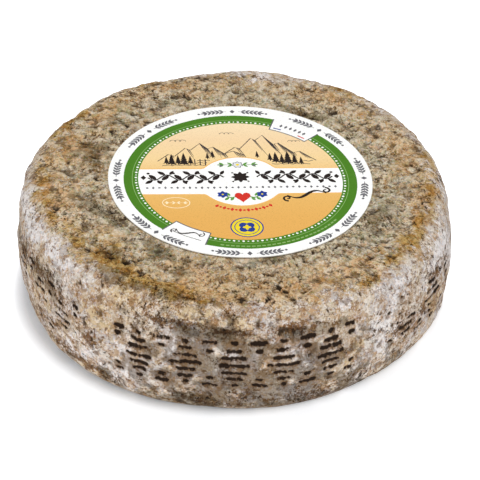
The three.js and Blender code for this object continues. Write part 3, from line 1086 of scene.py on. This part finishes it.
def side_colour(f, grain):
    """The side: a lilac-grey bloom over cream and tan, with brown spots and blotches, and painted shade in
    its small hollows.
    """
    colour = coated(f, (202, 185, 162), (
        ((192, 185, 183), 0.85, 18, 0.45, 21, 0.5, None, 5),
        ((219, 208, 195), 0.75, 13, 0.3, 36, 0.4),
        ((168, 134, 96), 0.72, 7, 0.26, 37, 0.5),
        ((207, 183, 144), 0.85, 11, 0.05, 22, 0.5, ("tan", 2.2)),
        ((142, 100, 56), 0.75, 6, 0.12, 23, 0.35, ("tan", 1.0)),
        ((128, 122, 112), 0.7, 8, 0.06, 24, 0.35, ("grey", 1.8)),
        ((232, 226, 224), 0.92, 10, 0.13, 25, 0.4, ("bloom", 2.6)),
        ((104, 72, 40), 0.88, 7, 0.04, 26, 0.3, ("brown", 3.0)),
    ))
    mixed = grains(f, 0.9, 20, (
        ((242, 235, 228), 0.3), ((212, 168, 118), 0.24), ((134, 92, 54), 0.2),
        ((172, 171, 186), 0.14), ((84, 58, 36), 0.08), ((162, 160, 128), 0.04),
    ))
    colour = f.paint(colour, mixed, f.patches(2.6, 0.55, 27, 0.5), 0.38)
    colour = coated(f, colour, (
        ((112, 76, 44), 0.82, 2.4, 0.15, 29, 0.25, ("brown", 0.9), 4),
        ((58, 42, 28), 0.9, 3, 0.03, 30, 0.2, ("brown", 1.1), 4),
    ))
    # Speckle that follows the bump: lighter where it rises and darker, to near black, where it dips, so
    # partly painted highlight and painted shade
    colour = layered(f, colour, uneven(f, grain, 0.66, 0.35, 15, 32), (
        ((238, 231, 223), 0.5, 1.8, 0.5), ((114, 80, 46), -0.6, -1.5, 0.64), ((50, 37, 26), -1.8, -2.2, 0.9),
    ))
    # Painted shade: darker, to near black, where the relief lies in a hollow
    colour = layered(f, colour, f.ragged("hollow", 0.04, 2, 5, 0.7, 33), (
        ((110, 80, 50), -0.15, -0.35, 0.65), ((52, 40, 29), -0.35, -0.6, 0.85),
    ))
    # The shade tint darkens the dark blotches, and at the foot of the front it is painted shade towards the
    # bottom edge
    return tinted(f, colour, (
        (OCHRE_TINT, "ochre", 6, 14, 0.8), ((173, 169, 163), "dull", 9, 34, 1),
        (SHADE_TINT, "shade", 9, 15, 1),
    ))


def rind_finish():
    """The rind: the crust's colours and the side's, and on the side the dark marks of the stamp."""
    f = Finish("rind", roughness=0.92)
    # The bump's height, which also lays the speckle: its dark ends are painted shade in the dips and its
    # light ends painted highlight on the rises
    grain = f.noise(2.4, 3, 0.95, 44)
    is_crust = f.ramp(f.ragged("crust", 0.3, 7, 8, 0.72, 41), -0.25, 0.25)
    colour = f.paint(side_colour(f, grain), crust_colour(f, grain), is_crust)
    around = f.math("MULTIPLY", f.ramp(f.field("stamp"), 4.5, 1.0), f.patches(5, 0.4, 43, 0.4))
    colour = f.paint(colour, (136, 106, 74), around, 0.3)
    colour = layered(f, colour, f.ragged("stamp", 0.16, 1.6, 4, 0.7, 42), (
        ((110, 80, 52), 0.7, 0.1, 0.6), ((32, 21, 13), 0.18, -0.1, 0.97),
    ))
    return f.cover(Base_Color=colour, Specular_IOR_Level=0.12, Normal=f.bump(grain, 0.09))


def paper_finish():
    """Printed paper: its inks, a shade darker in the grain of the paper, and a faint sheen."""
    f = Finish("label_paper", roughness=0.5)
    fibres = f.ramp(f.noise(0.5, 3, 0.7), 0, 3)
    colour = f.paint(f.field("ink", "Color"), (232, 230, 226), fibres, blend="MULTIPLY")
    return f.cover(Base_Color=colour, Specular_IOR_Level=0.1, Normal=f.bump(f.noise(0.6, 2), 0.004))


# Stage

# The camera looks along +Y from this far, this many degrees up, at a point near the middle of the wheel:
# it aims so many millimetres to the right of that middle and up from it, in its own view
CAMERA_DISTANCE = 1000
CAMERA_ELEVATION = 35.25
CAMERA_LENS = 162.1
CAMERA_AIM = (2.3, -4.5)
WHEEL_MIDDLE = (0, 0, 29.2)

# Lights: place and size in metres, and power. They face the point LIGHT_AIM.
LIGHTS = {"key": ((0.16, 0.12, 1.5), 0.35, 10.2), "front": ((-0.2, -1.3, 0.8), 0.9, 9.5)}
LIGHT_AIM = (0, 0, 0.03)
WHITE_LIGHT = (255, 255, 255)
WORLD_LIGHT = 0.42

# The floor glows white round this point, in metres: not at all up to the first distance, and fully from
# the second on. This glow is painted light, for the floor is no lamp, and where it is held back next to the
# wheel it leaves a painted shadow round the wheel's foot.
PAINTED_SHADOW_CENTRE = (-0.0045, 0.0015, 0)
PAINTED_SHADOW_EDGE = (0.0925, 0.102)
PAINTED_FLOOR_GLOW = 0.55


def stand(item, place, direction):
    """Puts a camera or a light in the scene at a place, and turns it to face a direction."""
    bpy.context.scene.collection.objects.link(item)
    item.location = place
    item.rotation_mode = "QUATERNION"
    item.rotation_quaternion = direction.to_track_quat("-Z", "Y")


def place_camera():
    camera = bpy.data.objects.new("camera", bpy.data.cameras.new("camera"))
    camera.data.sensor_width = 36
    camera.data.lens = CAMERA_LENS
    camera.data.clip_start = 0.01
    turn = np.radians(CAMERA_ELEVATION)
    forward = Vector((0, np.cos(turn), -np.sin(turn)))
    up = Vector((0, np.sin(turn), np.cos(turn)))
    aim = Vector(WHEEL_MIDDLE) + Vector((CAMERA_AIM[0], 0, 0)) + up * CAMERA_AIM[1]
    stand(camera, (aim - forward * CAMERA_DISTANCE) * MM, forward)
    bpy.context.scene.camera = camera


def build_stage():
    """A plain floor under soft studio light. It glows white with painted light away from the wheel, which
    leaves a painted shadow next to it.
    """
    bpy.ops.mesh.primitive_plane_add(size=12)
    floor = bpy.context.object
    floor.name = "floor"
    f = Finish("floor", roughness=0.8)
    plain = f.paint((242, 246, 252), (240, 244, 250), f.patches(300, 0.5, 0, 0.3))
    # Painted shadow: the floor's painted glow fades out towards the wheel, so the floor is darker next to its
    # foot
    away = f.math("DISTANCE", f.place, PAINTED_SHADOW_CENTRE, "VectorMath")
    painted_glow = f.math("MULTIPLY", f.ramp(away, *PAINTED_SHADOW_EDGE), PAINTED_FLOOR_GLOW)
    floor.data.materials.append(f.cover(Base_Color=plain, Emission_Color=WHITE_LIGHT, Emission_Strength=painted_glow))
    world = bpy.data.worlds.new("studio")
    world.use_nodes = True
    background = world.node_tree.nodes["Background"].inputs
    background["Color"].default_value = linear(*WHITE_LIGHT)
    background["Strength"].default_value = WORLD_LIGHT
    bpy.context.scene.world = world
    bpy.context.scene.view_settings.view_transform = "Standard"
    for name, (place, size, power) in LIGHTS.items():
        light = bpy.data.objects.new(name, bpy.data.lights.new(name, "AREA"))
        light.data.shape = "DISK"
        light.data.size = size
        light.data.energy = power
        stand(light, place, Vector(LIGHT_AIM) - Vector(place))


def show(piece, finish, node):
    """Puts a finished piece in the scene, riding on the one body, in place of a CAD node."""
    bpy.context.scene.collection.objects.link(piece)
    piece.data.materials.append(finish)
    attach(piece, "root")
    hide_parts(node)


place_camera()
build_stage()
show(build_rind(), rind_finish(), "cheese_wheel")
show(build_label(), paper_finish(), "paper_label")
